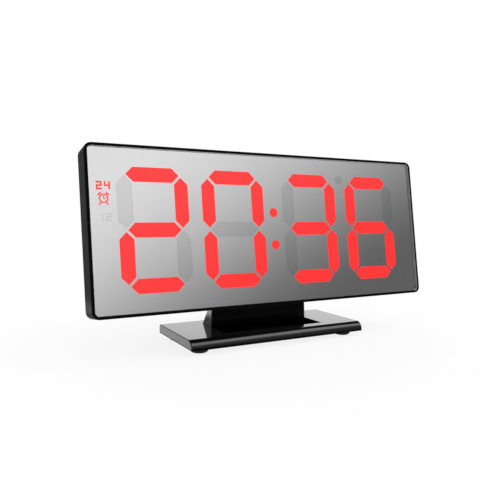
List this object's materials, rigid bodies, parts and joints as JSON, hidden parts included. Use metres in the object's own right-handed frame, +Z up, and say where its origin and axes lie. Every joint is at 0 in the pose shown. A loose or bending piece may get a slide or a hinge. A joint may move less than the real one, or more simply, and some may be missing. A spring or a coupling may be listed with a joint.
{
  "type": "digital led desk clock",
  "caption": "Free-standing LED desk clock: wide mirror-faced display leaning back on a neck and a small flat base, with push buttons and a battery bay behind.",
  "frame": {"origin": "on the table under the middle of the base", "axes": "+X along the face to the viewer's right, +Y to the back, +Z up"},
  "size_m": [0.1878, 0.0434, 0.0959],
  "materials": {
    "gloss_black": "glossy moulded ABS",
    "satin_black": "fine satin moulding",
    "neck_black": "matte moulding",
    "sole_black": "dull pressed fibre plate",
    "button_black": "satin keys",
    "clear_acrylic": "clear bevelled acrylic",
    "half_mirror": "vacuum coated half mirror",
    "unlit_segment": "dark segment behind the half mirror",
    "red_light": "lit red diffuser",
    "tape_black": "adhesive foam",
    "reflector_white": "white moulded reflector",
    "board_green": "solder mask over glass fibre",
    "led_package": "LED package",
    "chip_black": "moulded chip package",
    "crystal_can": "tinned can",
    "connector_black": "nylon connector",
    "socket_steel": "plated steel",
    "contact_steel": "nickel plated spring steel",
    "screw_steel": "dark zinc plated steel",
    "cell_wrap": "plain shrink wrap",
    "rubber_black": "moulded rubber"
  },
  "bodies": {
    "clock": {"front_bezel": "gloss_black", "lens": "clear_acrylic", "mirror_film": "half_mirror", "lens_tape": "tape_black", "reflector_housing": "reflector_white", "colon_dots": "red_light", "degree_dot": "unlit_segment", "indicator_diffusers": "reflector_white", "led_board": "board_green", "led_chips": "led_package", "driver_chips": "chip_black", "rear_cover": "satin_black", "battery_cells": "cell_wrap", "battery_contacts": "contact_steel", "control_board": "board_green", "controller_chip": "chip_black", "quartz_crystal": "crystal_can", "board_connector": "connector_black", "buzzer": "chip_black", "usb_socket": "socket_steel", "tact_switches": "chip_black", "snooze_switch": "chip_black", "base_plate": "gloss_black", "rubber_feet": "rubber_black", "neck": "neck_black", "neck_sole": "sole_black", "case_screws": "screw_steel", "display_screws": "screw_steel", "control_screws": "screw_steel", "head_screws": "screw_steel", "neck_screws": "screw_steel", "digit1_lit_segments": "red_light", "digit1_unlit_segments": "unlit_segment", "digit2_lit_segments": "red_light", "digit2_unlit_segments": "unlit_segment", "digit3_lit_segments": "red_light", "digit3_unlit_segments": "unlit_segment", "digit4_lit_segments": "red_light", "digit4_unlit_segments": "unlit_segment"},
    "snooze_bar": {"snooze_bar": "button_black"},
    "battery_door": {"battery_door": "satin_black"},
    "button_1": {"button_1": "button_black"},
    "button_2": {"button_2": "button_black"},
    "button_3": {"button_3": "button_black"},
    "button_4": {"button_4": "button_black"},
    "button_5": {"button_5": "button_black"}
  },
  "joints": [
    {"name": "button_1_press", "type": "slide", "parent": "clock", "child": "button_1", "axis": [0, -0.9888, 0.1495], "range_m": [0, 0.0006], "stiffness_N_per_m": 900},
    {"name": "button_2_press", "type": "slide", "parent": "clock", "child": "button_2", "axis": [0, -0.9888, 0.1495], "range_m": [0, 0.0006], "stiffness_N_per_m": 900},
    {"name": "button_3_press", "type": "slide", "parent": "clock", "child": "button_3", "axis": [0, -0.9888, 0.1495], "range_m": [0, 0.0006], "stiffness_N_per_m": 900},
    {"name": "button_4_press", "type": "slide", "parent": "clock", "child": "button_4", "axis": [0, -0.9888, 0.1495], "range_m": [0, 0.0006], "stiffness_N_per_m": 900},
    {"name": "button_5_press", "type": "slide", "parent": "clock", "child": "button_5", "axis": [0, -0.9888, 0.1495], "range_m": [0, 0.0006], "stiffness_N_per_m": 900},
    {"name": "snooze_press", "type": "slide", "parent": "clock", "child": "snooze_bar", "axis": [0, -0.1495, -0.9888], "range_m": [0, 0.0008], "stiffness_N_per_m": 900},
    {"name": "battery_door_swing", "type": "hinge", "parent": "clock", "child": "battery_door", "pos_m": [-0.0472, 0.01055, 0.03698], "axis": [-1, 0, 0], "range_deg": [0, 90]}
  ]
}
